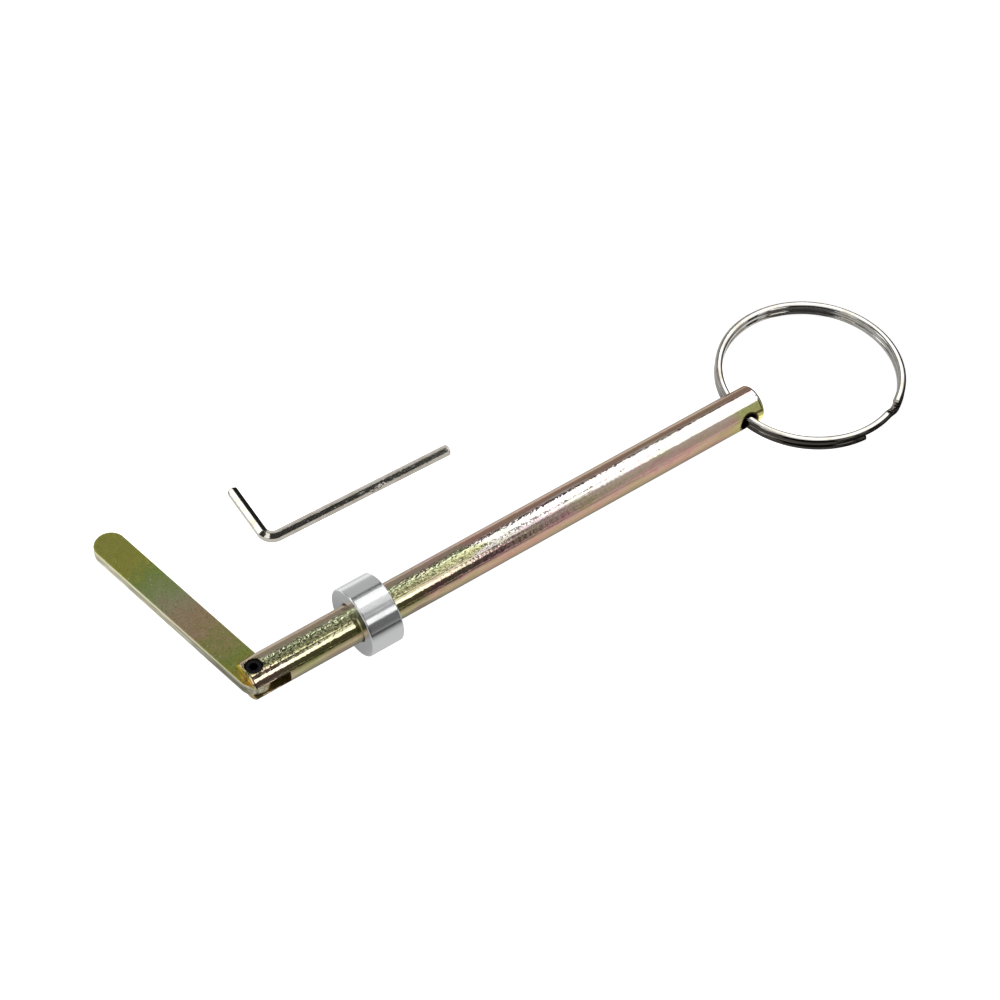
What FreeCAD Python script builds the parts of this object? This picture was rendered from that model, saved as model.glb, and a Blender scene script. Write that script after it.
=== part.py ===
import FreeCAD, Part
import math
import os

# Hitch pin lock: a round steel pin with a toggle lever hinged in a slot at its toe, a sliding stop collar
# clamped by a socket set screw, a double-coil split ring through a cross hole at its tail, and the
# loose hex key that fits the set screw.
#
# Millimetres. +X runs along the pin's axis from the lever to the ring, +Y is the side that the turned
# lever points to, +Z is up along the lever's hinge axis. The origin is on the pin's axis, in the middle
# of the round stretch between the lever's slot and the stop collar, where the gripped part sits.

V = FreeCAD.Vector
AXIS_X = V(1, 0, 0)
AXIS_Y = V(0, 1, 0)
AXIS_Z = V(0, 0, 1)

# Pin body
PIN_D = 9.525
PIN_L = 146.5
GRIP_L = 19.5
TOE_CHAMFER = 0.45
TAIL_ROUND = 0.9

# Slot for the lever, open at the toe
SLOT_W = 3.4
SLOT_DEPTH = 9.35

# Toggle lever
LEVER_W = 7.94
LEVER_T = 3.175
LEVER_REACH = 51.1
LEVER_EDGE_BREAK = 0.25
LEVER_REST_ANGLE = 81.15

# Pivot: a headless socket set screw through both ears and the lever
PIVOT_FROM_TOE = 2.45
PIVOT_D = 4.17
PIVOT_L = 8.2
PIVOT_SOCKET_AF = 1.98
PIVOT_SOCKET_DEPTH = 2.2
PIVOT_THREAD_GAP = 0.02
PIVOT_RUNNING_GAP = 0.05
PIVOT_MOUTH_D = 4.9
PIVOT_END_CHAMFER = 0.3

# Cross hole for the ring, near the tail
RING_HOLE_FROM_TAIL = 4.9
RING_HOLE_D = 4.76
RING_MOUTH_D = 5.9

# Stop collar
COLLAR_OD = 17.46
COLLAR_BORE = 9.85
COLLAR_W = 8.75
COLLAR_OUTER_ROUND = 0.3
COLLAR_BORE_CHAMFER = 0.4

# Collar's set screw, radial along +Y
CLAMP_D = 4.98
CLAMP_L = 3.85
CLAMP_THREAD_GAP = 0.02
CLAMP_TIP_GAP = 0.02
CLAMP_TIP_CHAMFER = 0.5
CLAMP_MOUTH_D = 5.5

# Hex key, and the socket that it fits
KEY_AF = 2.5
KEY_LONG = 50.5
KEY_SHORT = 17.5
KEY_BEND_R = 3.0
KEY_END_CHAMFER = 0.25
SOCKET_GAP = 0.03
CLAMP_SOCKET_DEPTH = 2.4

# Split ring: two turns of wire flattened where they meet
RING_MEAN_R = 22.63
WIRE_W = 2.0
WIRE_H = 1.65
WIRE_CORNER_R = 0.7
COIL_GAP = 0.05
RING_DROOP = 1.5
RING_YAW = -1.27
RING_SEAT = 0.25
RING_START = -59.3
RING_STEP_START = 288.0
RING_STEP_END = 300.0
RING_FINISH = 628.0

# The bench that the pin lies on. The pin touches it with its collar and its tail, so the bench isn't
# parallel to the pin's axis, and the pin is rolled on it a little towards the lever. The key's corner is
# measured along the bench from the point under the collar's outer face.
BENCH_ROLL = 2.0
KEY_CORNER_X = -9.3
KEY_CORNER_Y = 35.8
KEY_TURN = -2.88

# How closely an edge has to lie on a plane to count as on it
ON_PLANE = 0.01

# Derived places along the pin
SLOT_FLOOR_X = -GRIP_L / 2
TOE_X = SLOT_FLOOR_X - SLOT_DEPTH
TAIL_X = TOE_X + PIN_L
PIVOT_X = TOE_X + PIVOT_FROM_TOE
RING_HOLE_X = TAIL_X - RING_HOLE_FROM_TAIL
COLLAR_X = GRIP_L / 2
COLLAR_FAR_X = COLLAR_X + COLLAR_W
CLAMP_X = COLLAR_X + COLLAR_W / 2
PIN_R = PIN_D / 2
COLLAR_R = COLLAR_OD / 2

# The bench's frame: its origin in the collar's outer face on the pin's axis, its Z square to the bench
TAIL_REST_X = TAIL_X - TAIL_ROUND
BENCH_PITCH = -math.degrees(math.asin((COLLAR_R - PIN_R) / (TAIL_REST_X - COLLAR_FAR_X)))
PITCH = FreeCAD.Placement(V(COLLAR_FAR_X, 0, 0), FreeCAD.Rotation(AXIS_Y, BENCH_PITCH))
BENCH = PITCH.multiply(FreeCAD.Placement(V(0, 0, 0), FreeCAD.Rotation(AXIS_X, BENCH_ROLL)))


def cylinder(diameter, length, start, axis):
    return Part.makeCylinder(diameter / 2, length, start, axis)


def countersink(mouth_d, hole_d, mouth, inward):
    """A cone that opens a hole's mouth out to mouth_d."""
    depth = (mouth_d - hole_d) / 2
    return Part.makeCone(mouth_d / 2, hole_d / 2, depth, mouth, inward)


def hexagon(across_flats, flat_up):
    """A closed hexagonal wire in the YZ plane; flat_up puts two of its flats level."""
    radius = across_flats / math.sqrt(3)
    first = 0 if flat_up else 30
    corners = []
    for step in range(7):
        angle = math.radians(first + 60 * step)
        corners.append(V(0, radius * math.cos(angle), radius * math.sin(angle)))
    return Part.makePolygon(corners)


def hex_prism(across_flats, length):
    """A hexagonal prism from the origin along +X."""
    return Part.Face(hexagon(across_flats, True)).extrude(V(length, 0, 0))


def edges_where(shape, test):
    return [edge for edge in shape.Edges if test(edge)]


def pin_body():
    rod = cylinder(PIN_D, PIN_L, V(TOE_X, 0, 0), AXIS_X)
    toe = edges_where(rod, lambda edge: edge.BoundBox.XMax < TOE_X + ON_PLANE)
    rod = rod.makeChamfer(TOE_CHAMFER, toe)
    tail = edges_where(rod, lambda edge: edge.BoundBox.XMin > TAIL_X - ON_PLANE)
    rod = rod.makeFillet(TAIL_ROUND, tail)

    slot = Part.makeBox(SLOT_DEPTH + 1, 2 * PIN_D, SLOT_W, V(TOE_X - 1, -PIN_D, -SLOT_W / 2))
    rod = rod.cut(slot)

    pivot_hole = cylinder(PIVOT_D + 2 * PIVOT_THREAD_GAP, 2 * PIN_D, V(PIVOT_X, 0, -PIN_D), AXIS_Z)
    pivot_mouth = countersink(PIVOT_MOUTH_D, PIVOT_D, V(PIVOT_X, 0, PIN_R), -AXIS_Z)
    rod = rod.cut(pivot_hole).cut(pivot_mouth)

    ring_hole = cylinder(RING_HOLE_D, 2 * PIN_D, V(RING_HOLE_X, -PIN_D, 0), AXIS_Y)
    rod = rod.cut(ring_hole)
    for side in (-1, 1):
        mouth = V(RING_HOLE_X, side * PIN_R, 0)
        rod = rod.cut(countersink(RING_MOUTH_D, RING_HOLE_D, mouth, AXIS_Y * -side))
    return rod.removeSplitter()


def toggle_lever():
    """The lever in line with the pin, its far end towards -X, then turned to its rest angle."""
    half = LEVER_W / 2
    near = V(PIVOT_X, 0, 0)
    far = V(PIVOT_X - LEVER_REACH, 0, 0)
    outline = Part.Wire([
        Part.makeLine(near + V(0, half, 0), far + V(0, half, 0)),
        Part.Arc(far + V(0, half, 0), far + V(-half, 0, 0), far + V(0, -half, 0)).toShape(),
        Part.makeLine(far + V(0, -half, 0), near + V(0, -half, 0)),
        Part.Arc(near + V(0, -half, 0), near + V(half, 0, 0), near + V(0, half, 0)).toShape(),
    ])
    blade = Part.Face(outline).extrude(V(0, 0, LEVER_T))
    blade.translate(V(0, 0, -LEVER_T / 2))
    rims = edges_where(blade, lambda edge: edge.BoundBox.ZLength < ON_PLANE)
    blade = blade.makeChamfer(LEVER_EDGE_BREAK, rims)
    bore = cylinder(PIVOT_D + 2 * PIVOT_RUNNING_GAP, 2 * LEVER_T, near - V(0, 0, LEVER_T), AXIS_Z)
    blade = blade.cut(bore)
    blade.rotate(near, AXIS_Z, -LEVER_REST_ANGLE)
    return blade


def pivot_screw():
    """A set screw sunk a little below the upper ear, its socket upwards."""
    top = PIVOT_L / 2
    screw = cylinder(PIVOT_D, PIVOT_L, V(PIVOT_X, 0, -top), AXIS_Z)
    rims = edges_where(screw, lambda edge: edge.BoundBox.ZLength < ON_PLANE)
    screw = screw.makeChamfer(PIVOT_END_CHAMFER, rims)
    socket = hex_prism(PIVOT_SOCKET_AF, PIVOT_SOCKET_DEPTH)
    socket.rotate(V(0, 0, 0), AXIS_Y, 90)
    socket.translate(V(PIVOT_X, 0, top))
    return screw.cut(socket)


def stop_collar():
    ring = cylinder(COLLAR_OD, COLLAR_W, V(COLLAR_X, 0, 0), AXIS_X)
    rims = edges_where(ring, lambda edge: edge.BoundBox.XLength < ON_PLANE)
    ring = ring.makeFillet(COLLAR_OUTER_ROUND, rims)
    ring = ring.cut(cylinder(COLLAR_BORE, COLLAR_W + 2, V(COLLAR_X - 1, 0, 0), AXIS_X))
    mouth_d = COLLAR_BORE + 2 * COLLAR_BORE_CHAMFER
    ring = ring.cut(countersink(mouth_d, COLLAR_BORE, V(COLLAR_X, 0, 0), AXIS_X))
    ring = ring.cut(countersink(mouth_d, COLLAR_BORE, V(COLLAR_FAR_X, 0, 0), -AXIS_X))
    thread = cylinder(CLAMP_D + 2 * CLAMP_THREAD_GAP, COLLAR_OD, V(CLAMP_X, 0, 0), AXIS_Y)
    ring = ring.cut(thread)
    mouth = V(CLAMP_X, COLLAR_R, 0)
    return ring.cut(countersink(CLAMP_MOUTH_D, CLAMP_D, mouth, -AXIS_Y))


def collar_set_screw():
    """Bears on the pin along +Y, its socket outwards."""
    tip_y = PIN_R + CLAMP_TIP_GAP
    screw = cylinder(CLAMP_D, CLAMP_L, V(CLAMP_X, tip_y, 0), AXIS_Y)
    tip = edges_where(screw, lambda edge: edge.BoundBox.YMax < tip_y + ON_PLANE)
    screw = screw.makeChamfer(CLAMP_TIP_CHAMFER, tip)
    socket = hex_prism(KEY_AF + 2 * SOCKET_GAP, CLAMP_SOCKET_DEPTH)
    socket.rotate(V(0, 0, 0), AXIS_Z, -90)
    socket.translate(V(CLAMP_X, tip_y + CLAMP_L, 0))
    return screw.cut(socket)


def ring_point(angle, height):
    """A point of the ring's wire line, its centre at the origin and its plane level."""
    turn = math.radians(angle)
    return V(RING_MEAN_R * math.cos(turn), RING_MEAN_R * math.sin(turn), height)


def ring_arc(start, end, height):
    middle = (start + end) / 2
    return Part.Arc(ring_point(start, height), ring_point(middle, height), ring_point(end, height)).toShape()


def wire_section(angle, height):
    """The wire's rounded section, standing across the ring at an angle."""
    bar = Part.makeBox(WIRE_W, 1, WIRE_H, V(-WIRE_W / 2, 0, -WIRE_H / 2))
    bar = bar.makeFillet(WIRE_CORNER_R, edges_where(bar, lambda edge: edge.BoundBox.YLength > 1 - ON_PLANE))
    ends = [face for face in bar.Faces if face.BoundBox.YMax < ON_PLANE]
    outline = ends[0].OuterWire
    outline.translate(V(RING_MEAN_R, 0, height))
    outline.rotate(V(0, 0, 0), AXIS_Z, angle)
    return outline


def split_ring():
    """Upper turn, a step down beside its own start, and a lower turn that stops short of the step."""
    upper = (WIRE_H + COIL_GAP) / 2
    lower = -upper
    down = Part.BSplineCurve()
    half_way = ring_point((RING_STEP_START + RING_STEP_END) / 2, 0)
    down.interpolate(
        Points=[ring_point(RING_STEP_START, upper), half_way, ring_point(RING_STEP_END, lower)],
        InitialTangent=AXIS_Z.cross(ring_point(RING_STEP_START, 0)),
        FinalTangent=AXIS_Z.cross(ring_point(RING_STEP_END, 0)),
    )
    path = Part.Wire([
        ring_arc(RING_START, RING_STEP_START, upper),
        down.toShape(),
        ring_arc(RING_STEP_END, RING_FINISH, lower),
    ])
    pipe = Part.BRepOffsetAPI.MakePipeShell(path)
    pipe.setBiNormalMode(AXIS_Z)
    pipe.add(wire_section(RING_START, upper), False, False)
    pipe.build()
    pipe.makeSolid()
    ring = pipe.shape()
    ring.translate(V(RING_MEAN_R - RING_SEAT, 0, 0))
    ring.rotate(V(0, 0, 0), AXIS_Z, RING_YAW)
    ring.rotate(V(0, 0, 0), AXIS_Y, RING_DROOP)
    ring.translate(V(RING_HOLE_X, 0, 0))
    return ring


def hex_key():
    """An L of hexagonal bar lying on the bench on two of its corners."""
    height = KEY_AF / math.sqrt(3)
    bend = KEY_BEND_R
    mid = bend * (1 - math.sqrt(0.5))
    path = Part.Wire([
        Part.makeLine(V(KEY_LONG, 0, 0), V(bend, 0, 0)),
        Part.Arc(V(bend, 0, 0), V(mid, mid, 0), V(0, bend, 0)).toShape(),
        Part.makeLine(V(0, bend, 0), V(0, KEY_SHORT, 0)),
    ])
    section = hexagon(KEY_AF, False)
    section.translate(V(KEY_LONG, 0, 0))
    pipe = Part.BRepOffsetAPI.MakePipeShell(path)
    pipe.setBiNormalMode(AXIS_Z)
    pipe.add(section, False, False)
    pipe.build()
    pipe.makeSolid()
    key = pipe.shape()
    key = key.makeChamfer(KEY_END_CHAMFER, edges_where(key, is_key_end_edge))
    key.rotate(V(0, 0, 0), AXIS_Z, KEY_TURN)
    key.translate(V(KEY_CORNER_X, KEY_CORNER_Y, height - COLLAR_R))
    key.Placement = BENCH.multiply(key.Placement)
    return key


def is_key_end_edge(edge):
    """True for the edges of the key's two end faces, before it is placed."""
    box = edge.BoundBox
    on_long_end = box.XMin > KEY_LONG - ON_PLANE
    on_short_end = box.YMin > KEY_SHORT - ON_PLANE
    return on_long_end or on_short_end


PIECES = {
    "pin_body": pin_body,
    "toggle_lever": toggle_lever,
    "pivot_set_screw": pivot_screw,
    "stop_collar": stop_collar,
    "collar_set_screw": collar_set_screw,
    "split_ring": split_ring,
    "hex_key": hex_key,
}

os.makedirs("parts", exist_ok=True)
for name, make in PIECES.items():
    shape = make()
    shape.exportStep("parts/" + name + ".step")
    print(name, shape.ShapeType, len(shape.Solids), "valid", shape.isValid(), round(shape.Volume, 1), "mm3")
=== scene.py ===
import math

import bmesh
import bpy
from mathutils import Matrix, Vector

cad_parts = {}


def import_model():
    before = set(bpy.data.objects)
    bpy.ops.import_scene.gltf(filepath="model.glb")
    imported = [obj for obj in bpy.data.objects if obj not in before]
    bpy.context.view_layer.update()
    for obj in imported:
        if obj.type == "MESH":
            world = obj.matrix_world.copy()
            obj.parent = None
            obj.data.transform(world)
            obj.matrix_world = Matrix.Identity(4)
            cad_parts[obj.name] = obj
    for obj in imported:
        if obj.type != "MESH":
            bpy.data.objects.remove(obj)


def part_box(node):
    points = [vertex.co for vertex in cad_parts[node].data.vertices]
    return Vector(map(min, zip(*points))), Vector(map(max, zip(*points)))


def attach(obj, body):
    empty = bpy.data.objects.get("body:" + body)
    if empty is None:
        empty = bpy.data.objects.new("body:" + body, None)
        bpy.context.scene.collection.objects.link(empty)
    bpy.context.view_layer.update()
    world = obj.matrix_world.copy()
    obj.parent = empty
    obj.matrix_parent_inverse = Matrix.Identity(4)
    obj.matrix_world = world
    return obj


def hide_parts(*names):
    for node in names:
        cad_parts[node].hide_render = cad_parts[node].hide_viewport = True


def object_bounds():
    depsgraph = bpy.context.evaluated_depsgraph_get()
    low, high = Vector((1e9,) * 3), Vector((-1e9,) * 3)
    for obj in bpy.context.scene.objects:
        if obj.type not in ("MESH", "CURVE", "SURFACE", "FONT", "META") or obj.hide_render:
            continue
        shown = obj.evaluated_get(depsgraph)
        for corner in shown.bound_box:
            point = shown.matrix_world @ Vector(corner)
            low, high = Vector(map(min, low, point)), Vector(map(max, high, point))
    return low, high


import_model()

# Hitch pin lock, seen from above its lever end. Metres, in the CAD part's own frame: +X runs along the
# # pin from the lever to the ring, +Y is the side that the turned lever points to, and +Z is up along
# the
# # lever's hinge axis. Some places below are measured from the CAD nodes' boxes; the rest are given as
# numbers.

cad_low, cad_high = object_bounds()
pin_low, pin_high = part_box("pin_body")
collar_low, collar_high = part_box("stop_collar")

PIN_R = pin_high.z
TOE_X, TAIL_X = pin_low.x, pin_high.x
COLLAR_R = collar_high.z
LEVER_ANGLE = math.radians(81.15)
SEAM = math.radians(-57)
CARD_R = 0.85
HARD_EDGE = math.radians(25)

# The rod's toe and the two holes that set screws stand in
TOE_CHAMFER = 0.00045
PIVOT_HOLE_R, PIVOT_HOLE_FLARE = 0.002105, 0.0005
CLAMP_HOLE_R, CLAMP_HOLE_FLARE = 0.00251, 0.00024
SCREW_END_BREAK = 0.0003

# The collar's bore, its turned edges and the bevels at its bore
COLLAR_BORE_R = 0.004925
COLLAR_ROUND, COLLAR_BEVEL = 0.0004, 0.0004

# The lever: a bar with round ends, turned from the pin's line about its pivot
PIVOT_X = TOE_X + 0.00245
LEVER_HALF = 0.00397
LEVER_REACH = 0.0511
LEVER_THICK = 0.003175
LEVER_BORE_R, LEVER_BORE_BREAK = 0.002135, 0.0001
LEVER_ROUND = 0.00035
SLOT_DEPTH, SLOT_HALF = 0.00935, 0.0017

# The split ring: its wire's line, its section and where it steps down, in its own frame
RING_HOLE_X = TAIL_X - 0.0049
RING_HOLE_R, RING_HOLE_FLARE = 0.00238, 0.00052
RING_R = 0.02263
RING_SEAT = 0.00025
WIRE_W, WIRE_H, WIRE_CORNER = 0.002, 0.00165, 0.0007
COIL_GAP = 0.00005
WIRE_END_ROUND = 0.00018
RING_START, STEP_START, STEP_END, RING_FINISH = -59.3, 288.0, 300.0, 628.0
RING_TURN = Matrix.Rotation(math.radians(1.5), 4, "Y") @ Matrix.Rotation(math.radians(-1.27), 4, "Z")
RING_OUT = Matrix.Translation((RING_R - RING_SEAT, 0, 0))
RING_SEATED = Matrix.Translation((RING_HOLE_X, 0, 0)) @ RING_TURN @ RING_OUT

# The hex key: an L with its corner at its own origin, lying on the bench
KEY_AF = 0.0025
KEY_LONG, KEY_SHORT, KEY_BEND = 0.0505, 0.0175, 0.003
KEY_EDGE_R, KEY_END_ROUND = 0.00016, 0.0003
KEY_NICK, NICK_HALF, NICK_DEPTH = 0.0298, 0.0025, 0.00012

# The bench touches the collar and the tail, so it is pitched to the pin's axis, and rolled a little
TAIL_ROUND = 0.0009
BENCH_ROLL = math.radians(2.0)
BENCH_PITCH = -math.asin((COLLAR_R - PIN_R) / (TAIL_X - TAIL_ROUND - collar_high.x))
BENCH_TURN = Matrix.Rotation(BENCH_PITCH, 4, "Y") @ Matrix.Rotation(BENCH_ROLL, 4, "X")
BENCH_NORMAL = BENCH_TURN @ Vector((0, 0, 1))
BENCH_POINT = Vector((collar_high.x, 0, 0)) - BENCH_NORMAL * COLLAR_R
KEY_SPOT = (-0.0093, 0.0358)
KEY_TURN = Matrix.Rotation(math.radians(-2.88), 4, "Z")
KEY_ON_BENCH = Matrix.Translation((*KEY_SPOT, KEY_AF / math.sqrt(3) - COLLAR_R)) @ KEY_TURN
KEY_PLACE = Matrix.Translation((collar_high.x, 0, 0)) @ BENCH_TURN @ KEY_ON_BENCH


# ---------------------------------------------------------------- shader nodes

def new_material(name):
    material = bpy.data.materials.new(name)
    material.use_nodes = True
    tree = material.node_tree
    shader = tree.nodes["Principled BSDF"]
    return material, tree, shader


def put(socket, value):
    """Sets a socket, or links it when the value is another node's socket."""
    if isinstance(value, bpy.types.NodeSocket):
        socket.id_data.links.new(value, socket)
    else:
        socket.default_value = value


def maths(tree, operation, first, second=0.0):
    node = tree.nodes.new("ShaderNodeMath")
    node.operation = operation
    put(node.inputs[0], first)
    put(node.inputs[1], second)
    return node.outputs[0]


def noise(tree, place, scale, detail=2.0, roughness=0.5, distortion=0.0):
    node = tree.nodes.new("ShaderNodeTexNoise")
    put(node.inputs["Vector"], place)
    node.inputs["Scale"].default_value = scale
    node.inputs["Detail"].default_value = detail
    node.inputs["Roughness"].default_value = roughness
    node.inputs["Distortion"].default_value = distortion
    return node.outputs["Fac"]


def ramp(tree, factor, stops):
    """A colour ramp through (position, colour) stops; a plain number is a grey."""
    node = tree.nodes.new("ShaderNodeValToRGB")
    points = node.color_ramp.elements
    while len(points) < len(stops):
        points.new(0.5)
    for point, (position, colour) in zip(points, stops):
        point.position = position
        point.color = (colour, colour, colour, 1) if isinstance(colour, float) else (*colour, 1)
    put(node.inputs["Fac"], factor)
    return node.outputs["Color"]


def blend_colours(tree, factor, first, second, kind="MIX"):
    node = tree.nodes.new("ShaderNodeMix")
    node.data_type = "RGBA"
    node.blend_type = kind
    put(node.inputs["Factor"], factor)
    put(node.inputs[6], first)
    put(node.inputs[7], second)
    return node.outputs[2]


def object_place(tree, stretch=(1, 1, 1), turn=(0, 0, 0)):
    """The point in the piece's own frame, turned and then stretched."""
    coordinates = tree.nodes.new("ShaderNodeTexCoord")
    turned_place = tree.nodes.new("ShaderNodeMapping")
    put(turned_place.inputs["Vector"], coordinates.outputs["Object"])
    turned_place.inputs["Rotation"].default_value = turn
    stretched_place = tree.nodes.new("ShaderNodeMapping")
    put(stretched_place.inputs["Vector"], turned_place.outputs["Vector"])
    stretched_place.inputs["Scale"].default_value = stretch
    return stretched_place.outputs["Vector"]


def axes_of(tree, place):
    node = tree.nodes.new("ShaderNodeSeparateXYZ")
    put(node.inputs[0], place)
    return node.outputs[0], node.outputs[1], node.outputs[2]


def rescale(tree, value, low, high, new_low=0.0, new_high=1.0):
    node = tree.nodes.new("ShaderNodeMapRange")
    put(node.inputs["Value"], value)
    node.inputs["From Min"].default_value = low
    node.inputs["From Max"].default_value = high
    node.inputs["To Min"].default_value = new_low
    node.inputs["To Max"].default_value = new_high
    return node.outputs[0]


def distance_from(tree, first, second):
    """How far a point is from an axis, from its two coordinates square to it."""
    squares = [maths(tree, "MULTIPLY", side, side) for side in (first, second)]
    return maths(tree, "SQRT", maths(tree, "ADD", *squares))


def bump(tree, height, distance, strength=1.0):
    node = tree.nodes.new("ShaderNodeBump")
    node.inputs["Strength"].default_value = strength
    node.inputs["Distance"].default_value = distance
    put(node.inputs["Height"], height)
    return node.outputs[0]


# ---------------------------------------------------------------- materials

def round_the_rod(tree, seam):
    """How far round the X axis a point is, 0 to 1, from a seam at an angle above +Y."""
    _, level, height = axes_of(tree, object_place(tree, turn=(math.pi - seam, 0, 0)))
    return rescale(tree, maths(tree, "ARCTAN2", height, level), -math.pi, math.pi)


def pin_zinc():
    """Yellow chromate on a drawn rod: olive at the toe, mauve and pink towards the ring, with painted
    highlights and painted shade in bands round it and painted shade in its slot and holes.
    """
    material, tree, shader = new_material("pin_zinc")
    place = object_place(tree)
    along, level, height = axes_of(tree, place)

    streaks = noise(tree, object_place(tree, stretch=(0.12, 1, 1)), 420, 3, 0.6, 0.4)
    patches = noise(tree, object_place(tree, stretch=(0.35, 1, 1)), 150, 3, 0.55, 0.6)
    wander = maths(tree, "MULTIPLY", maths(tree, "SUBTRACT", streaks, 0.5), 0.07)
    round_it = round_the_rod(tree, SEAM)
    around = maths(tree, "ADD", round_it, wander)

    # Colour in bands round the rod: partly the plating's hue, partly painted highlights and painted
    # shade, lighter where the lights reflect and darker between them and along the underside
    ring_end = ramp(tree, around, [
        (0.10, (0.62, 0.48, 0.32)), (0.31, (0.60, 0.42, 0.30)), (0.375, (0.54, 0.34, 0.25)),
        (0.41, (0.90, 0.82, 0.78)), (0.49, (0.92, 0.86, 0.82)), (0.515, (0.84, 0.68, 0.58)),
        (0.55, (0.78, 0.57, 0.47)), (0.585, (0.84, 0.54, 0.48)), (0.62, (0.94, 0.63, 0.46)),
        (0.655, (0.84, 0.59, 0.37)), (0.69, (0.58, 0.43, 0.28)), (0.90, (0.62, 0.48, 0.32)),
    ])
    toe_end = ramp(tree, around, [
        (0.10, (0.60, 0.52, 0.32)), (0.31, (0.52, 0.39, 0.29)), (0.385, (0.44, 0.38, 0.26)),
        (0.41, (0.74, 0.80, 0.52)), (0.435, (0.54, 0.56, 0.33)), (0.465, (0.48, 0.47, 0.25)),
        (0.485, (0.66, 0.63, 0.36)), (0.52, (0.80, 0.76, 0.50)), (0.565, (0.80, 0.73, 0.30)),
        (0.595, (0.44, 0.41, 0.18)), (0.64, (0.72, 0.64, 0.37)),
        (0.67, (0.44, 0.38, 0.24)), (0.70, (0.30, 0.26, 0.17)), (0.90, (0.60, 0.52, 0.32)),
    ])
    drift = maths(tree, "MULTIPLY", maths(tree, "SUBTRACT", patches, 0.5), 0.05)
    lower = rescale(tree, around, 0.49, 0.56, 0, 0.013)
    reach = maths(tree, "ADD", maths(tree, "ADD", along, drift), lower)
    change = maths(tree, "ADD", along, maths(tree, "MULTIPLY", drift, 0.5))
    lower_band = rescale(tree, around, 0.48, 0.51)
    upper_band = maths(tree, "SUBTRACT", 1.0, lower_band)
    abrupt = maths(tree, "MULTIPLY", rescale(tree, change, 0.0432, 0.0452), upper_band)
    gradual = maths(tree, "MULTIPLY", rescale(tree, reach, 0.042, 0.056), lower_band)
    to_ring = maths(tree, "ADD", abrupt, gradual)
    colour = blend_colours(tree, to_ring, toe_end, ring_end)

    tail = rescale(tree, maths(tree, "ADD", along, maths(tree, "MULTIPLY", drift, 0.25)), 0.1165, 0.1215)
    under_light = rescale(tree, around, 0.49, 0.53, 0, 0.8)
    green = maths(tree, "MULTIPLY", tail, under_light)
    colour = blend_colours(tree, green, colour, (0.74, 0.78, 0.24, 1))
    tip = rescale(tree, along, -0.0075, -0.0135, 0, 0.85)
    colour = blend_colours(tree, maths(tree, "MULTIPLY", tip, rescale(tree, around, 0.47, 0.50)),
                           colour, (0.94, 0.70, 0.56, 1))
    end_face = rescale(tree, along, TOE_X + 0.0003, TOE_X + 0.00005)
    colour = blend_colours(tree, end_face, colour, (0.95, 0.74, 0.34, 1))
    tail_face = rescale(tree, along, TAIL_X - 0.0006, TAIL_X - 0.00015)
    colour = blend_colours(tree, tail_face, colour, (0.72, 0.62, 0.34, 1))
    tint = ramp(tree, patches, [
        (0.28, (0.88, 1.03, 0.78)), (0.42, (1.0, 1.0, 0.98)), (0.56, (1.0, 1.0, 1.0)),
        (0.70, (1.05, 0.90, 1.02)),
    ])
    colour = blend_colours(tree, 1.0, colour, tint, "MULTIPLY")
    film = noise(tree, object_place(tree, stretch=(0.22, 1, 1)), 460, 2, 0.6, 0.8)
    film_colour = ramp(tree, film, [
        (0.28, (0.74, 0.98, 0.56)), (0.42, (0.96, 1.0, 0.90)), (0.52, (1.0, 1.0, 1.0)),
        (0.60, (1.04, 0.92, 1.0)), (0.72, (0.96, 0.72, 0.88)),
    ])
    below_light = maths(tree, "MULTIPLY", rescale(tree, round_it, 0.49, 0.55, 0.25, 1.0),
                        rescale(tree, along, 0.0, 0.04, 0.5, 1.0))
    filmed = blend_colours(tree, 1.0, colour, film_colour, "MULTIPLY")
    colour = blend_colours(tree, below_light, colour, filmed)
    # Painted shade inside the slot and holes, where the surface lies below the rod's round: a dark olive
    from_axis = distance_from(tree, level, height)
    lip = rescale(tree, along, 0.05, 0.06, 0.0003, 0.00005)
    depth = maths(tree, "SUBTRACT", maths(tree, "SUBTRACT", PIN_R, from_axis), lip)
    inside = rescale(tree, depth, 0.0, 0.00012)
    in_hole = maths(tree, "MULTIPLY", inside, rescale(tree, along, TAIL_X - 0.0009, TAIL_X - 0.0012))
    in_hole = maths(tree, "MULTIPLY", in_hole, rescale(tree, along, TOE_X + 0.0001, TOE_X + 0.0004))
    colour = blend_colours(tree, in_hole, colour, (0.30, 0.23, 0.08, 1))
    # Painted shade: the mouth of the ring hole nearly black
    from_hole = distance_from(tree, maths(tree, "SUBTRACT", along, RING_HOLE_X), height)
    mouth_r = RING_HOLE_R + RING_HOLE_FLARE
    mouth = rescale(tree, from_hole, mouth_r - 0.00002, mouth_r - 0.00016)
    colour = blend_colours(tree, mouth, colour, (0.10, 0.07, 0.035, 1))

    # Painted shade: a narrow band round the rod darkened, fully near the toe and fading out further
    # along
    painted_shade_band = ramp(tree, around, [(0.42, 1.0), (0.44, 0.40), (0.465, 0.40), (0.485, 1.0)])
    painted_shade_reach = rescale(tree, along, 0.005, 0.04, 1.0, 0.0)
    colour = blend_colours(tree, painted_shade_reach, colour, blend_colours(tree, 1.0, colour, painted_shade_band, "MULTIPLY"))

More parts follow.
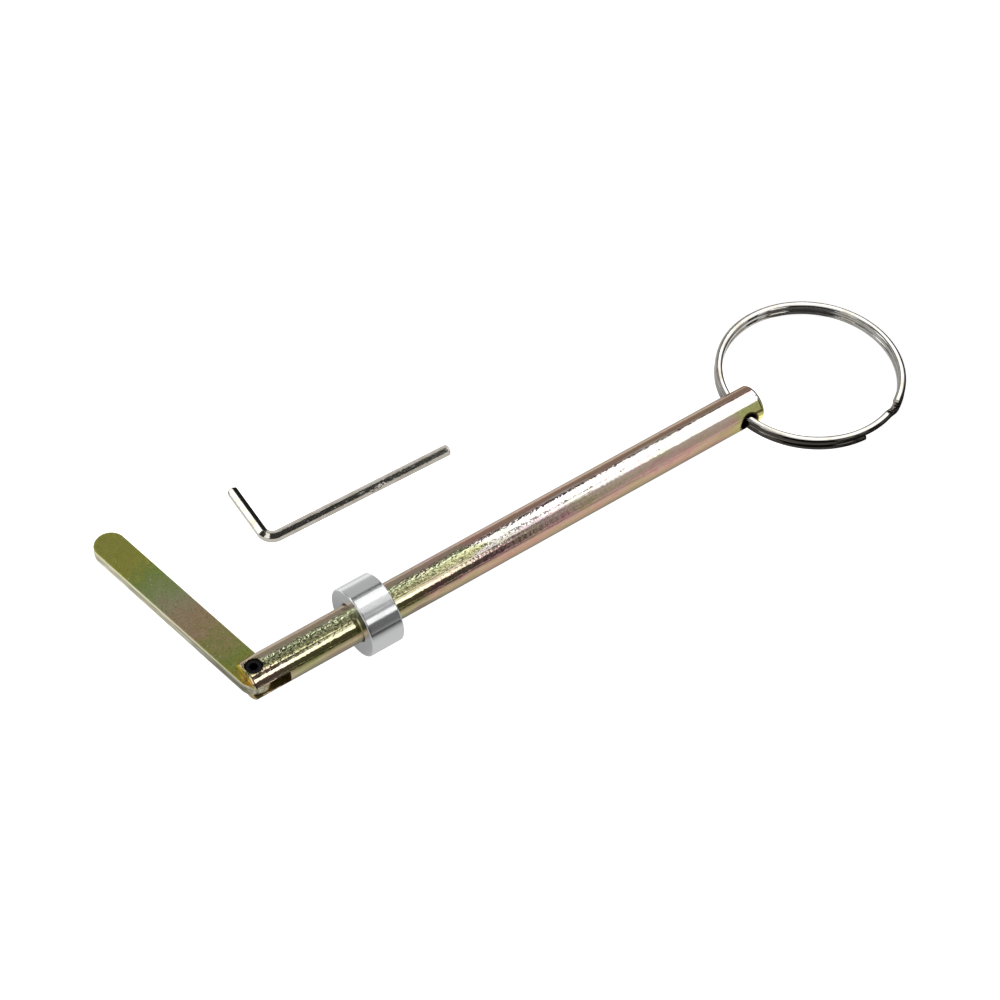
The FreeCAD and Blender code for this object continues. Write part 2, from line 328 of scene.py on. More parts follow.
    # The plating is coarse where the rod was rubbed along its top, and finer elsewhere
    grain = noise(tree, object_place(tree, stretch=(0.6, 1, 1)), 1900, 1, 0.4)
    pits = noise(tree, place, 1500, 2, 0.5)
    rubbed = ramp(tree, round_it, [(0.375, 0.0), (0.39, 1.0), (0.475, 1.0), (0.49, 0.0)])
    towards_ring = rescale(tree, along, 0.015, 0.065, 0.9, 0.13)
    coarse = maths(tree, "ADD", maths(tree, "MULTIPLY", rubbed, towards_ring), 0.09)
    specks = ramp(tree, noise(tree, object_place(tree, stretch=(0.6, 1, 1)), 2300, 1, 0.5), [
        (0.34, (0.30, 0.30, 0.24)), (0.44, (0.85, 0.88, 0.80)), (0.54, (1.0, 1.0, 1.0)),
        (0.66, (1.5, 1.4, 1.45)),
    ])
    speckled = maths(tree, "MULTIPLY", coarse, 0.85)
    colour = blend_colours(tree, speckled, colour, blend_colours(tree, 1.0, colour, specks, "MULTIPLY"))
    put(shader.inputs["Base Color"], colour)
    shader.inputs["Metallic"].default_value = 1.0
    polish = rescale(tree, grain, 0.3, 0.7, 0.06, 0.12)
    put(shader.inputs["Roughness"], maths(tree, "ADD", polish, maths(tree, "MULTIPLY", in_hole, 0.40)))
    pitted = ramp(tree, pits, [(0.27, 0.0), (0.31, 0.04)])
    relief = maths(tree, "ADD", maths(tree, "MULTIPLY", grain, coarse), pitted)
    smooth_tail = rescale(tree, along, 0.100, 0.116, 1.0, 0.25)
    put(shader.inputs["Normal"], bump(tree, maths(tree, "MULTIPLY", relief, smooth_tail), 0.00020, 1.0))
    return material


def lever_zinc():
    """Yellow chromate on flat bar, in olive, green and rose patches along the blade, paler on its cut
    sides, with a painted highlight along their edges."""
    material, tree, shader = new_material("lever_zinc")
    place = object_place(tree)
    blade = object_place(tree, turn=(0, 0, LEVER_ANGLE - math.pi))
    along, _, _ = axes_of(tree, blade)
    _, _, height = axes_of(tree, place)
    cloud = noise(tree, place, 105, 4, 0.6, 0.5)
    mottle = noise(tree, place, 520, 3, 0.65)
    fine = noise(tree, place, 1900, 2, 0.5)
    drift = maths(tree, "MULTIPLY", maths(tree, "SUBTRACT", cloud, 0.5), 0.45)
    fray = maths(tree, "MULTIPLY", maths(tree, "SUBTRACT", mottle, 0.5), 0.16)
    position = maths(tree, "ADD", rescale(tree, along, 0.0, 0.056), maths(tree, "ADD", drift, fray))
    colour = ramp(tree, position, [
        (0.02, (0.90, 0.58, 0.17)), (0.12, (0.68, 0.60, 0.15)), (0.20, (0.52, 0.60, 0.17)),
        (0.31, (0.76, 0.60, 0.30)), (0.40, (0.86, 0.58, 0.40)), (0.50, (0.76, 0.62, 0.42)),
        (0.58, (0.66, 0.68, 0.38)), (0.72, (0.50, 0.62, 0.19)), (0.82, (0.66, 0.62, 0.15)),
        (0.95, (0.62, 0.58, 0.15)),
    ])
    shade = ramp(tree, mottle, [
        (0.30, (0.77, 0.80, 0.72)), (0.52, (0.80, 0.84, 0.75)), (0.70, (0.90, 0.94, 0.90)),
    ])
    colour = blend_colours(tree, 1.0, colour, shade, "MULTIPLY")
    specks = ramp(tree, noise(tree, place, 1250, 1, 0.5), [(0.70, 0.0), (0.77, 0.75)])
    colour = blend_colours(tree, specks, colour, (0.96, 0.94, 0.62, 1))

    # Streaks along the cut sides, and a painted highlight, a bright line where each side turns into a
    # face
    drawn_out = object_place(tree, (0.10, 1, 1), (0, 0, LEVER_ANGLE - math.pi))
    side = ramp(tree, noise(tree, drawn_out, 1500, 3, 0.6), [
        (0.32, (0.30, 0.28, 0.17)), (0.5, (0.56, 0.53, 0.36)), (0.66, (0.88, 0.86, 0.70)),
    ])
    level = maths(tree, "ABSOLUTE", height)
    half = LEVER_THICK / 2
    painted_rim_highlight = rescale(tree, level, half - 0.00006, half - 0.00014)
    colour = blend_colours(tree, painted_rim_highlight, colour, (0.92, 0.88, 0.66, 1))
    below_rim = rescale(tree, level, half - 0.00030, half - 0.00042)
    colour = blend_colours(tree, below_rim, colour, side)
    put(shader.inputs["Base Color"], colour)
    shader.inputs["Metallic"].default_value = 1.0
    put(shader.inputs["Roughness"], rescale(tree, fine, 0.3, 0.7, 0.26, 0.36))
    put(shader.inputs["Normal"], bump(tree, cloud, 0.00003, 0.5))
    return material


def aluminium():
    """Fine turned aluminium: its circular tool marks spread reflections along the axis."""
    material, tree, shader = new_material("collar_aluminium")
    marks = noise(tree, object_place(tree, stretch=(1, 0.02, 0.02)), 5200, 3, 0.6)
    scuffs = noise(tree, object_place(tree, stretch=(0.15, 1, 1)), 900, 2, 0.5)
    shader.inputs["Base Color"].default_value = (0.93, 0.935, 0.94, 1)
    shader.inputs["Metallic"].default_value = 1.0
    shader.inputs["Anisotropic"].default_value = 0.9
    shader.inputs["Anisotropic Rotation"].default_value = 0.25
    grain = tree.nodes.new("ShaderNodeTangent")
    grain.direction_type = "RADIAL"
    grain.axis = "X"
    put(shader.inputs["Tangent"], grain.outputs[0])
    put(shader.inputs["Roughness"], rescale(tree, scuffs, 0.3, 0.7, 0.21, 0.27))
    put(shader.inputs["Normal"], bump(tree, marks, 0.00001, 0.2))
    return material


def nickel(name, colour, low, high, relief):
    """Bright nickel over drawn wire: a faint grain, and darker where the plating is thin."""
    material, tree, shader = new_material(name)
    place = object_place(tree)
    fine = noise(tree, place, 1700, 2, 0.5)
    cloud = noise(tree, place, 260, 3, 0.6)
    thin = ramp(tree, cloud, [(0.34, (0.80, 0.77, 0.71)), (0.56, (1.0, 1.0, 1.0))])
    put(shader.inputs["Base Color"], blend_colours(tree, 1.0, (*colour, 1), thin, "MULTIPLY"))
    shader.inputs["Metallic"].default_value = 1.0
    put(shader.inputs["Roughness"], rescale(tree, fine, 0.3, 0.7, low, high))
    put(shader.inputs["Normal"], bump(tree, fine, relief, 1.0))
    return material


def ring_nickel():
    """The ring's wire, with painted shade on the flat of its outer side standing in for a dark
    reflection, so it is darker there than on its rounded corners.
    """
    material = nickel("ring_nickel", (0.64, 0.62, 0.585), 0.02, 0.05, 0.000006)
    tree = material.node_tree
    shader = tree.nodes["Principled BSDF"]
    along, level, _ = axes_of(tree, object_place(tree))
    beside = maths(tree, "SUBTRACT", along, RING_HOLE_X + RING_R - RING_SEAT)
    outer = RING_R + WIRE_W / 2
    # Painted shade on the flat of the outer side, standing in for the dark reflection there
    painted_dark_side = rescale(tree, distance_from(tree, beside, level), outer - 0.00009, outer - 0.00003)
    plated = shader.inputs["Base Color"].links[0].from_socket
    put(shader.inputs["Base Color"], blend_colours(tree, painted_dark_side, plated, (0.09, 0.08, 0.07, 1)))
    return material


def black_oxide():
    material, tree, shader = new_material("black_oxide")
    fine = noise(tree, object_place(tree), 2500, 3, 0.6)
    put(shader.inputs["Base Color"], ramp(tree, fine, [(0.3, 0.002), (0.7, 0.008)]))
    shader.inputs["Specular IOR Level"].default_value = 0.25
    put(shader.inputs["Roughness"], rescale(tree, fine, 0.3, 0.7, 0.3, 0.45))
    put(shader.inputs["Normal"], bump(tree, fine, 0.00002, 0.3))
    return material


# ---------------------------------------------------------------- meshes

def show(name, mesh):
    thing = bpy.data.objects.new(name, mesh)
    bpy.context.scene.collection.objects.link(thing)
    return thing


def mesh_of(name, made, material):
    mesh = bpy.data.meshes.new(name)
    made.to_mesh(mesh)
    made.free()
    mesh.materials.append(material)
    return mesh


def skin(made, rows):
    """Quads between closed rows of vertices."""
    for before, after in zip(rows, rows[1:]):
        for here in range(len(before)):
            there = (here + 1) % len(before)
            made.faces.new((before[here], before[there], after[there], after[here]))


def rounded_outline(corners, radius, steps, between=0):
    """A closed outline through the corners of a convex polygon, each corner an arc of so many steps and
    each side cut by so many extra points."""
    outline = []
    count = len(corners)
    for here in range(count):
        corner = Vector(corners[here])
        back = (Vector(corners[here - 1]) - corner).normalized()
        ahead = (Vector(corners[(here + 1) % count]) - corner).normalized()
        half = back.angle(ahead) / 2
        centre = corner + (back + ahead).normalized() * radius / math.sin(half)
        start = corner + back * radius / math.tan(half) - centre
        finish = corner + ahead * radius / math.tan(half) - centre
        turn = math.atan2(start.x * finish.y - start.y * finish.x, start.dot(finish))
        for step in range(steps + 1):
            outline.append(centre + Matrix.Rotation(turn * step / steps, 2) @ start)
        after = Vector(corners[(here + 1) % count])
        next_start = after - ahead * radius / math.tan(half)
        for step in range(1, between + 1):
            outline.append((centre + finish).lerp(next_start, step / (between + 1)))
    return outline


def sweep(made, outline, stations):
    """Rows of vertices for an outline carried along stations: (origin, across, up, shrink)."""
    rows = []
    for origin, across, up, shrink in stations:
        offsets = [(across * point.x + up * point.y) * shrink for point in outline]
        rows.append([made.verts.new(origin + offset) for offset in offsets])
    skin(made, rows)
    made.faces.new(rows[0])
    made.faces.new(rows[-1])
    return rows


def end_steps(round_over, half_width, steps=5):
    """(distance from the end, shrink) pairs for an end rounded over."""
    pairs = []
    for step in range(steps):
        angle = math.pi / 2 * step / steps
        shrink = 1 - round_over * (1 - math.sin(angle)) / half_width
        pairs.append((round_over * (1 - math.cos(angle)), shrink))
    return pairs


def finish_piece(name, made, material, node, body, place=None, soft_edge=0.0):
    """Smooth-shades a mesh, softens its hard edges, and lets it stand for a CAD node."""
    if place is not None:
        made.transform(place)
    bmesh.ops.recalc_face_normals(made, faces=made.faces)
    for face in made.faces:
        face.smooth = True
    for edge in made.edges:
        edge.smooth = not (edge.is_manifold and edge.calc_face_angle() > HARD_EDGE)
    piece = show(name, mesh_of(name, made, material))
    if soft_edge:
        bevel = piece.modifiers.new("soft_edges", "BEVEL")
        bevel.limit_method = "ANGLE"
        bevel.angle_limit = HARD_EDGE
        bevel.width = soft_edge
        bevel.segments = 2
        bevel.use_clamp_overlap = False
        bevel.miter_outer = "MITER_ARC"
    weights = piece.modifiers.new("flat_faces_lead", "WEIGHTED_NORMAL")
    weights.weight = 100
    weights.keep_sharp = True
    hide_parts(node)
    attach(piece, body)
    return piece


def turned(profile, steps=96, place=None, hollow=False):
    """A turned solid round X from (distance along X, radius) pairs; a hollow one's profile is a loop."""
    made = bmesh.new()
    rows = []
    for distance, radius in profile:
        row = []
        for step in range(steps):
            angle = math.tau * step / steps
            row.append(made.verts.new((distance, radius * math.cos(angle), radius * math.sin(angle))))
        rows.append(row)
    if hollow:
        skin(made, rows + rows[:1])
    else:
        skin(made, rows)
        made.faces.new(rows[0])
        made.faces.new(rows[-1])
    if place is not None:
        made.transform(place)
    bmesh.ops.recalc_face_normals(made, faces=made.faces)
    return made


def block(low, high):
    made = bmesh.new()
    bmesh.ops.create_cube(made, size=1)
    size = Vector(high) - Vector(low)
    middle = (Vector(high) + Vector(low)) / 2
    made.transform(Matrix.Translation(middle) @ Matrix.Diagonal((*size, 1)))
    return made


def hexagon_bar(across_flats, start, finish, place):
    """A hexagonal solid round X between two distances, to cut a socket."""
    radius = across_flats / math.sqrt(3)
    return turned([(start, radius), (finish, radius)], 6, place)


def cut_away(made, tools):
    """Subtracts closed meshes from a closed mesh."""
    material = bpy.data.materials.new("cutting")
    kept = show("kept", mesh_of("kept", made, material))
    cutters = []
    for tool in tools:
        cutter = show("cutter", mesh_of("cutter", tool, material))
        cutters.append(cutter)
        knife = kept.modifiers.new("cut", "BOOLEAN")
        knife.operation = "DIFFERENCE"
        knife.solver = "EXACT"
        knife.object = cutter
    graph = bpy.context.evaluated_depsgraph_get()
    graph.update()
    result = bmesh.new()
    result.from_mesh(kept.evaluated_get(graph).to_mesh())
    for thing in [kept, *cutters]:
        bpy.data.meshes.remove(thing.data)
    bpy.data.materials.remove(material)
    return result


def rounded_mouth(surface, radius, flare, steps=5):
    """A hole tool's profile where the hole opens onto a surface, its mouth worn round: from the surface
    inwards."""
    profile = [(surface + 0.0010, radius + flare + 0.0020), (surface, radius + flare)]
    for step in range(1, steps + 1):
        angle = math.pi / 2 * step / steps
        profile.append((surface - flare * math.sin(angle), radius + flare * (1 - math.sin(angle)) ** 2))
    return profile


def pin_body(material):
    """The rod: chamfered toe with its slot, pivot hole and ring hole, and a rounded tail."""
    profile = [(TOE_X, PIN_R - TOE_CHAMFER), (TOE_X + TOE_CHAMFER, PIN_R)]
    profile += [(PIVOT_X + 0.0026 + 0.0004 * step, PIN_R) for step in range(3)]
    profile += [(RING_HOLE_X - 0.0036 + 0.0003 * step, PIN_R) for step in range(3)]
    profile += [(RING_HOLE_X + 0.0031 + 0.0003 * step, PIN_R) for step in range(3)]
    for step in range(7):
        angle = math.pi / 2 * step / 6
        inset = TAIL_ROUND * (1 - math.cos(angle))
        profile.append((TAIL_X - TAIL_ROUND * (1 - math.sin(angle)), PIN_R - inset))
    rod = turned(profile, 144)

    upwards = Matrix.Translation((PIVOT_X, 0, 0)) @ Matrix.Rotation(-math.pi / 2, 4, "Y")
    mouth = rounded_mouth(PIN_R, PIVOT_HOLE_R, PIVOT_HOLE_FLARE)
    pivot_hole = turned(mouth + [(-0.006, PIVOT_HOLE_R)], 64, upwards)
    sideways = Matrix.Translation((RING_HOLE_X, 0, 0)) @ Matrix.Rotation(math.pi / 2, 4, "Z")
    mouth = rounded_mouth(PIN_R, RING_HOLE_R, RING_HOLE_FLARE)
    mirrored = [(-distance, radius) for distance, radius in reversed(mouth)]
    ring_hole = turned(mouth + mirrored, 64, sideways)
    slot = block((TOE_X - 0.002, -0.01, -SLOT_HALF), (TOE_X + SLOT_DEPTH, 0.01, SLOT_HALF))
    made = cut_away(rod, [slot, pivot_hole, ring_hole])
    return finish_piece("pin_rod", made, material, "pin_body", "pin", soft_edge=0.00014)


def stop_collar(material):
    """A turned ring with soft edges and a threaded hole for its clamp screw."""
    near, far = collar_low.x, collar_high.x
    edge, bore, chamfer = COLLAR_ROUND, COLLAR_BORE_R, COLLAR_BEVEL
    profile = []
    for step in range(6):
        angle = math.pi / 2 * step / 5
        profile.append((near + edge * (1 - math.sin(angle)), COLLAR_R - edge * (1 - math.cos(angle))))
    profile = list(reversed(profile))
    across = far + near
    profile += [(across - distance, radius) for distance, radius in reversed(profile)]
    profile += [(far, bore + chamfer), (far - chamfer, bore)]
    profile += [(near + chamfer, bore), (near, bore + chamfer)]
    ring = turned(profile, 192, hollow=True)

    sideways = Matrix.Translation((across / 2, 0, 0)) @ Matrix.Rotation(math.pi / 2, 4, "Z")
    mouth = rounded_mouth(COLLAR_R, CLAMP_HOLE_R, CLAMP_HOLE_FLARE)
    hole = turned(mouth + [(0.001, CLAMP_HOLE_R)], 64, sideways)
    made = cut_away(ring, [hole])
    return finish_piece("collar_ring", made, material, "stop_collar", "collar",
                        soft_edge=0.00006)


def set_screw(name, radius, length, bevel, socket, depth, place, material, node, body):
    """A headless screw with a hexagon socket in the end at its own far X."""
    profile = [(0, radius - bevel), (bevel, radius)]
    profile += [(length - SCREW_END_BREAK, radius), (length, radius - SCREW_END_BREAK)]
    screw = turned(profile, 64)
    made = cut_away(screw, [hexagon_bar(socket, length - depth, length + 0.001, Matrix.Identity(4))])
    return finish_piece(name, made, material, node, body, place, soft_edge=0.00005)


def set_screws(material):
    pivot_low, pivot_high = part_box("pivot_set_screw")
    upwards = Matrix.Translation((PIVOT_X, 0, pivot_low.z)) @ Matrix.Rotation(-math.pi / 2, 4, "Y")
    set_screw("pivot_screw", 0.002085, pivot_high.z - pivot_low.z, 0.0003, 0.00198, 0.0022, upwards,
              material, "pivot_set_screw", "pin")
    clamp_low, clamp_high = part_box("collar_set_screw")
    middle = (clamp_low + clamp_high) / 2
    inner_end = Matrix.Translation((middle.x, clamp_low.y, middle.z))
    sideways = inner_end @ Matrix.Rotation(math.pi / 2, 4, "Z")
    set_screw("clamp_screw", 0.00249, clamp_high.y - clamp_low.y, 0.0005, 0.00256, 0.0024, sideways,
              material, "collar_set_screw", "clamp")


def key_station(distance):
    """A place on the key's middle line, measured from the end of its long arm."""
    straight = KEY_LONG - KEY_BEND
    bend = KEY_BEND * math.pi / 2
    up = Vector((0, 0, 1))
    if distance <= straight:
        return Vector((KEY_LONG - distance, 0, 0)), Vector((0, 1, 0)), up
    if distance >= straight + bend:
        return Vector((0, KEY_BEND + distance - straight - bend, 0)), Vector((1, 0, 0)), up
    angle = -math.pi / 2 - (distance - straight) / KEY_BEND
    outward = Vector((math.cos(angle), math.sin(angle), 0))
    return Vector((KEY_BEND, KEY_BEND, 0)) + outward * KEY_BEND, -outward, up


def gouge(point, place, lean, length, width):
    """How deep a short scratch with raised lips is at a point, from 1 in the middle to about -0.4."""
    away = Matrix.Rotation(lean, 2) @ (Vector(point) - Vector(place))
    along = max(abs(away.x) - length, 0) / width
    across = abs(away.y) / width
    pit = math.exp(-(across ** 2 + along ** 2))
    lip = 0.5 * math.exp(-((across - 1.7) ** 2 + along ** 2) * 1.5)
    return pit - lip


def hex_key(material):
    made = bmesh.new()
    radius = KEY_AF / math.sqrt(3)
    corners = []
    for step in range(6):
        angle = math.radians(30 + 60 * step)
        corners.append((radius * math.cos(angle), radius * math.sin(angle)))
    outline = rounded_outline(corners, KEY_EDGE_R, 4, between=9)

    total = KEY_LONG + KEY_SHORT - 2 * KEY_BEND + KEY_BEND * math.pi / 2
    nick = KEY_LONG - KEY_NICK
    ends = end_steps(KEY_END_ROUND, radius)
    before = nick - NICK_HALF - KEY_END_ROUND
    after = KEY_LONG - KEY_BEND - nick - NICK_HALF
    short = KEY_SHORT - KEY_BEND - KEY_END_ROUND
    spans = list(ends)
    spans += [(KEY_END_ROUND + before * step / 20, 1) for step in range(20)]
    spans += [(nick - NICK_HALF + 2 * NICK_HALF * step / 50, 1) for step in range(51)]
    spans += [(nick + NICK_HALF + after * step / 20, 1) for step in range(1, 20)]
    spans += [(KEY_LONG - KEY_BEND + KEY_BEND * math.pi / 2 * step / 24, 1) for step in range(25)]
    spans += [(total - KEY_END_ROUND - short * (1 - step / 10), 1) for step in range(1, 11)]
    spans += [(total - distance, shrink) for distance, shrink in reversed(ends)]
    rows = sweep(made, outline, [(*key_station(distance), shrink) for distance, shrink in spans])

    # Nicks on the upper facet that faces the pin, a small cluster of plain scratches
    facet = Vector((0, -math.cos(math.radians(30)), math.sin(math.radians(30))))
    over = Vector((0, facet.z, -facet.y))
    for row in rows:
        for vertex in row:
            if vertex.co.dot(facet) > KEY_AF / 2 - 0.0001 and abs(vertex.co.x - KEY_NICK) < 0.0024:
                spot = (vertex.co.x - KEY_NICK, vertex.co.dot(over))
                depth = gouge(spot, (0.0015, 0.0001), 0.9, 0.0005, 0.00019)
                depth += gouge(spot, (0.0007, -0.0001), -0.5, 0.0004, 0.00018)
                depth += gouge(spot, (-0.0002, -0.0002), 0.8, 0.0004, 0.00018)
                depth += gouge(spot, (-0.0014, -0.0004), 0.1, 0.0006, 0.00017)
                vertex.co -= facet * NICK_DEPTH * depth
    return finish_piece("key_bar", made, material, "hex_key", "key", KEY_PLACE)


def split_ring(material):
    """Two turns of flattened wire: the upper one steps down beside its own start to the lower one."""
    made = bmesh.new()
    corners = []
    for x, y in ((1, 1), (-1, 1), (-1, -1), (1, -1)):
        corners.append((x * WIRE_W / 2, y * WIRE_H / 2))
    outline = rounded_outline(corners, WIRE_CORNER, 8, between=1)
    high = (WIRE_H + COIL_GAP) / 2

    def station(angle, shrink):
        step = min(max((angle - STEP_START) / (STEP_END - STEP_START), 0), 1)
        height = high - 2 * high * step * step * (3 - 2 * step)
        outward = Vector((math.cos(math.radians(angle)), math.sin(math.radians(angle)), 0))
        return outward * RING_R + Vector((0, 0, height)), outward, Vector((0, 0, 1)), shrink

    ends = end_steps(WIRE_END_ROUND, WIRE_H / 2, 4)
    degrees = 1 / math.radians(1) / RING_R
    worn = WIRE_END_ROUND * degrees
    stations = [station(RING_START + distance * degrees, shrink) for distance, shrink in ends]
    reach = RING_FINISH - RING_START - 2 * worn
    stations += [station(RING_START + worn + reach * step / 520, 1) for step in range(521)]
    for distance, shrink in reversed(ends):
        stations.append(station(RING_FINISH - distance * degrees, shrink))
    sweep(made, outline, stations)
    return finish_piece("ring_wire", made, material, "split_ring", "ring", RING_SEATED)


def toggle_lever(material):
    """A flat bar with round ends and soft edges, bored for its pivot."""
    made = bmesh.new()
    centres = (Vector((PIVOT_X, 0)), Vector((PIVOT_X - LEVER_REACH, 0)))
    turn = Matrix.Rotation(-LEVER_ANGLE, 2)

    def bar_row(inset, height):
        row = []
        for centre, first in zip(centres, (-90, 90)):
            for step in range(41):
                angle = math.radians(first + 180 * step / 40)
                reach = Vector((math.cos(angle), math.sin(angle))) * (LEVER_HALF - inset)
                spot = turn @ (centre + reach - centres[0]) + centres[0]
                row.append(made.verts.new((spot.x, spot.y, height)))
        return row

    def bore_row(radius, height):
        row = []
        for step in range(48):
            angle = math.tau * step / 48
            across, ahead = radius * math.cos(angle), radius * math.sin(angle)
            row.append(made.verts.new((PIVOT_X + across, ahead, height)))
        return row

    half = LEVER_THICK / 2
    profile = []
    for step in range(6):
        angle = math.pi / 2 * step / 5
        profile.append((LEVER_ROUND * (1 - math.sin(angle)), half - LEVER_ROUND * (1 - math.cos(angle))))
    profile += [(inset, -height) for inset, height in reversed(profile)]
    sides = [bar_row(inset, height) for inset, height in profile]
    bore_mouth = LEVER_BORE_R + LEVER_BORE_BREAK
    bore_end = half - LEVER_BORE_BREAK
    bore = [bore_row(bore_mouth, half), bore_row(LEVER_BORE_R, bore_end)]
    bore += [bore_row(LEVER_BORE_R, -bore_end), bore_row(bore_mouth, -half)]
    skin(made, sides)
    skin(made, bore)
    for outer, inner in ((sides[0], bore[0]), (sides[-1], bore[-1])):
        rim = []
        for row in (outer, inner):
            rim += [made.edges.get((row[here - 1], row[here])) for here in range(len(row))]
        bmesh.ops.triangle_fill(made, use_beauty=True, use_dissolve=False, edges=rim)
    return finish_piece("lever_blade", made, material, "toggle_lever", "lever")


pin_body(pin_zinc())
stop_collar(aluminium())
set_screws(black_oxide())
toggle_lever(lever_zinc())
split_ring(ring_nickel())
hex_key(nickel("key_nickel", (0.58, 0.55, 0.49), 0.05, 0.10, 0.00002))


# ---------------------------------------------------------------- studio

def unseen_by(thing, *senses):
    for sense in senses:
        setattr(thing, "visible_" + sense, False)


def glow(name, strength, faded=0.0, full=0.0):
    """A plain white light, brighter from one place along X to another if they differ."""
    material = bpy.data.materials.new(name)
    material.use_nodes = True
    tree = material.node_tree
    tree.nodes.clear()
    emission = tree.nodes.new("ShaderNodeEmission")
    if faded == full:
        emission.inputs["Strength"].default_value = strength
    else:
        along, _, _ = axes_of(tree, object_place(tree))
        put(emission.inputs["Strength"], rescale(tree, along, faded, full, 0, strength))
    output = tree.nodes.new("ShaderNodeOutputMaterial")
    tree.links.new(emission.outputs[0], output.inputs["Surface"])
    return material


def arched_card(name, along, near, far, strength, faded=0.0, full=0.0, steps=16):
    """A softbox bent round the X axis: its reach along X, and its two angles above +Y in degrees at
    its near end and at its far end."""
    made = bmesh.new()
    rows = []
    for step in range(steps + 1):
        row = []
        for x, (start, end) in zip(along, (near, far)):
            angle = math.radians(start + (end - start) * step / steps)
            row.append(made.verts.new((x, CARD_R * math.cos(angle), CARD_R * math.sin(angle))))
        rows.append(row)
    for before, after in zip(rows, rows[1:]):
        made.faces.new((before[0], before[1], after[1], after[0]))
    card = show(name, mesh_of(name, made, glow(name, strength, faded, full)))
    unseen_by(card, "camera", "shadow")


def flat_card(name, place, width, height, strength):
    """A flat softbox that faces the pin's middle."""
    made = bmesh.new()
    bmesh.ops.create_grid(made, x_segments=1, y_segments=1, size=0.5)
    card = show(name, mesh_of(name, made, glow(name, strength)))
    middle = (cad_low + cad_high) / 2
    facing = (middle - Vector(place)).to_track_quat("Z", "Y").to_matrix().to_4x4()
    card.matrix_world = Matrix.Translation(place) @ facing @ Matrix.Diagonal((width, height, 1, 1))
    unseen_by(card, "camera", "shadow")


def ground(name, glow_strength, whiteness):
    made = bmesh.new()
    bmesh.ops.create_circle(made, cap_ends=True, radius=2.5, segments=96)
    material, tree, shader = new_material(name)
    shader.inputs["Base Color"].default_value = (whiteness, whiteness, whiteness, 1)
    shader.inputs["Roughness"].default_value = 0.9
    shader.inputs["Specular IOR Level"].default_value = 0.0
    shader.inputs["Emission Color"].default_value = (1, 1, 1, 1)
    shader.inputs["Emission Strength"].default_value = glow_strength
    disc = show(name, mesh_of(name, made, material))
    disc.matrix_world = Matrix.Translation(BENCH_POINT) @ BENCH_TURN
    return disc


def floors():
    """A white bench for the camera, and in its place for what the metal reflects a greyer one, whose
    glow darkens as painted shadow in front of the toe, under the rod and round the ring, and is bright
    as painted light to both sides inside the ring."""
    unseen_by(ground("floor", 0.92, 0.8), "diffuse", "glossy", "transmission", "shadow")
    reflected = ground("floor_in_reflections", 0.42, 0.05)
    unseen_by(reflected, "camera")
    tree = reflected.data.materials[0].node_tree
    along, ahead, _ = axes_of(tree, object_place(tree))
    near = rescale(tree, ahead, -0.075, -0.025)
    beyond = rescale(tree, along, 0.045, 0.11)
    lit = maths(tree, "MULTIPLY", maths(tree, "MAXIMUM", near, beyond), 0.53)
    shaded = rescale(tree, ahead, -0.0075, -0.0030, 1.0, 0.60)
    behind = rescale(tree, ahead, 0.012, 0.035, 0.0, 0.52)
    tail = TAIL_X - BENCH_POINT.x
    past_tail = rescale(tree, along, tail + 0.005, tail + 0.011, 1.0, 0.05)
    beside = maths(tree, "SUBTRACT", along, RING_HOLE_X + RING_R - BENCH_POINT.x)
    from_middle = distance_from(tree, beside, ahead)
    round_ring = rescale(tree, from_middle, 0.040, 0.050, 0.05, 1.0)
    under_ring = maths(tree, "MAXIMUM", past_tail, round_ring)
    lit = maths(tree, "MULTIPLY", lit, shaded)
    strength = maths(tree, "MULTIPLY", maths(tree, "ADD", lit, behind), under_ring)
    skew = math.radians(35)
    sideways = maths(tree, "SUBTRACT", maths(tree, "MULTIPLY", beside, math.cos(skew)),
                     maths(tree, "MULTIPLY", ahead, math.sin(skew)))
    to_the_sides = ramp(tree, rescale(tree, sideways, -0.020, 0.020), [
        (0.30, 0.85), (0.35, 0.05), (0.64, 0.05), (0.69, 0.50),
    ])
    in_ring = rescale(tree, from_middle, RING_R - 0.0003, RING_R - 0.0018)
    strength = maths(tree, "ADD", strength, maths(tree, "MULTIPLY", in_ring, to_the_sides))
    put(tree.nodes["Principled BSDF"].inputs["Emission Strength"], strength)


def backdrop():
    """A white dome round the set, which only the camera sees."""
    made = bmesh.new()
    bmesh.ops.create_uvsphere(made, u_segments=48, v_segments=24, radius=6)
    dome = show("backdrop", mesh_of("backdrop", made, glow("backdrop", 1.0)))
    unseen_by(dome, "diffuse", "glossy", "transmission", "volume_scatter", "shadow")


def world():
    """Dark walls under a dim ceiling."""
    made = bpy.data.worlds.new("studio")
    bpy.context.scene.world = made
    made.use_nodes = True
    tree = made.node_tree
    coordinates = tree.nodes.new("ShaderNodeTexCoord")
    _, _, height = axes_of(tree, coordinates.outputs["Generated"])
    shades = ramp(tree, height, [(0.0, 0.015), (0.5, 0.03), (0.95, 0.06)])
    put(tree.nodes["Background"].inputs["Color"], shades)


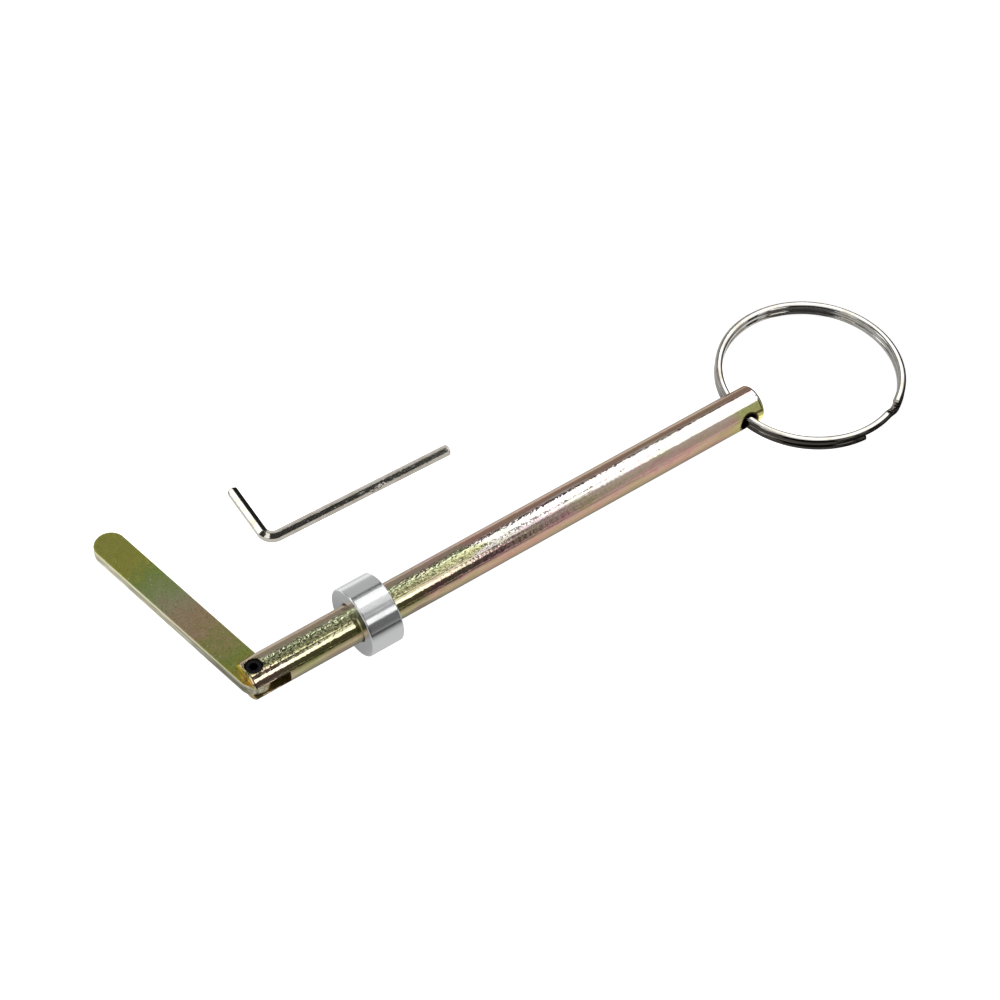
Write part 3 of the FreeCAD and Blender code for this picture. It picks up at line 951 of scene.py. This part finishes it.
def camera():
    lens = bpy.data.cameras.new("camera")
    lens.lens = 105.02
    lens.sensor_width = 36
    seat = show("camera", lens)
    right = Vector((0.81555, -0.57864, 0.00758))
    up = Vector((0.44492, 0.63535, 0.63118))
    back = Vector((-0.37004, -0.51138, 0.7756))
    seat.matrix_world = Matrix.Translation((-0.19781, -0.34423, 0.53774)) @ Matrix(
        (right, up, back)).transposed().to_4x4()
    bpy.context.scene.camera = seat


floors()
backdrop()
world()
camera()
arched_card("wall", (-0.4, 0.36), (0, 60), (0, 50), 0.46)
arched_card("wall_far", (0.36, 0.75), (0, 50), (0, 42), 0.37)
arched_card("ceiling", (0.18, 0.30), (94, 112), (94, 112), 0.20)
arched_card("ceiling_far", (0.30, 0.42), (94, 118), (94, 118), 0.30)
arched_card("key_light", (0.36, 0.46), (69, 93), (56, 100), 1.7, 0.34, 0.38)
arched_card("key_light_top", (0.37, 0.46), (110, 125), (104, 126), 1.5, 0.35, 0.40)
arched_card("key_light_far", (0.46, 0.58), (56, 127), (52, 126), 1.5)
arched_card("ring_light", (0.58, 0.85), (50, 92), (44, 86), 1.9)
arched_card("strip_back", (0.18, 0.36), (66, 93), (66, 93), 1.8, 0.17, 0.30)
arched_card("strip_front", (0.10, 0.49), (135, 152), (135, 149), 2.0, 0.47, 0.37)
arched_card("strip_front_edge", (0.26, 0.49), (122, 135), (119, 135), 1.0, 0.48, 0.38)
arched_card("fill_front", (0.36, 0.58), (127, 188), (127, 188), 0.44, 0.36, 0.45)
arched_card("dim_front", (0.05, 0.36), (153, 182), (153, 182), 0.06)
arched_card("ring_front", (-0.30, 0.26), (58, 84), (97, 116), 1.2)
arched_card("ring_front_far", (0.58, 0.85), (100, 118), (97, 115), 1.2)
arched_card("right_end", (0.85, 1.6), (60, 188), (60, 188), 0.45)
flat_card("wall_left", (-0.60, 0.05, 0.16), 0.9, 0.36, 0.9)
flat_card("light_left", (-0.42, -0.06, 0.62), 0.22, 0.22, 1.5)
flat_card("side_light", (-0.44, 0.50, 0.55), 0.28, 0.28, 2.2)
bpy.context.scene.view_settings.view_transform = "Standard"
